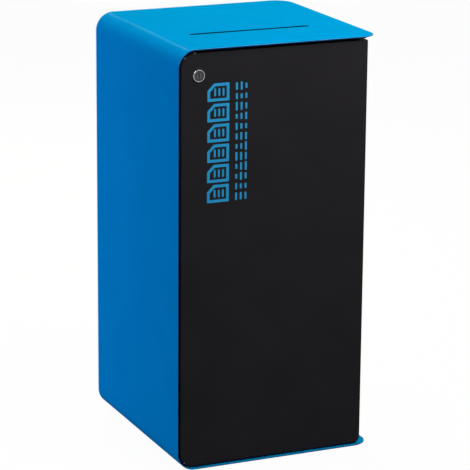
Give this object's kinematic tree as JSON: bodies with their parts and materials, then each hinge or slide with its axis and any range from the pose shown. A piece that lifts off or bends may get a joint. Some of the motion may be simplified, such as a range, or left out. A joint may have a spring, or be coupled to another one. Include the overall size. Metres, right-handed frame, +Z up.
{
  "type": "confidential paper bin",
  "caption": "Free-standing steel bin with a slot in its top for confidential paper, a bent shell that wraps round it, a locking door on pivots and a lift-up ring that holds the bag.",
  "frame": {"origin": "on the floor, under the middle of the shell's footprint", "axes": "+X to the right as seen from the door, +Y from the door to the back, +Z up"},
  "size_m": [0.368, 0.376, 0.7335],
  "materials": {
    "shell_blue": "fine satin powder coat, blue",
    "cabinet_black": "fine satin powder coat, near black",
    "door_black": "fine satin powder coat, near black",
    "zinc": "bright zinc plate",
    "lock_chrome": "polished nickel-chrome plate on a die casting",
    "plug_metal": "turned brass plug, dull nickel plate",
    "bush_nylon": "moulded black nylon",
    "rubber": "moulded black rubber",
    "ring_wire": "drawn steel wire, zinc plate"
  },
  "bodies": {
    "cabinet": {"shell": "shell_blue", "back_panel": "cabinet_black", "right_panel": "cabinet_black", "left_stop": "cabinet_black", "header_stop": "cabinet_black", "sill_stop": "cabinet_black", "upper_pivot": "cabinet_black", "pivot_studs": "zinc", "pivot_nuts": "zinc", "lower_pivot": "cabinet_black", "stop_buffers": "rubber", "ring_saddle_left": "cabinet_black", "ring_saddle_right": "cabinet_black", "ring_rest_left": "cabinet_black", "ring_rest_right": "cabinet_black", "feet": "rubber"},
    "door": {"door_skin": "door_black", "door_stiffener": "cabinet_black", "upper_bush": "bush_nylon", "lower_bush": "bush_nylon", "lock_housing": "lock_chrome", "lock_nut": "zinc"},
    "lock": {"key_plug": "plug_metal", "lock_cam": "zinc", "cam_screw": "zinc"},
    "ring": {"bag_ring": "ring_wire"}
  },
  "joints": [
    {"name": "door_swing", "type": "hinge", "parent": "cabinet", "child": "door", "pos_m": [0.1555, -0.175, 0.36], "axis": [0, 0, 1], "range_deg": [0, 170]},
    {"name": "lock_turn", "type": "hinge", "parent": "door", "child": "lock", "pos_m": [-0.1455, -0.183, 0.6885], "axis": [0, 1, 0], "range_deg": [0, 90]},
    {"name": "ring_lift", "type": "hinge", "parent": "cabinet", "child": "ring", "pos_m": [-0.00925, 0.1725, 0.6035], "axis": [-1, 0, 0], "range_deg": [0, 22]}
  ]
}
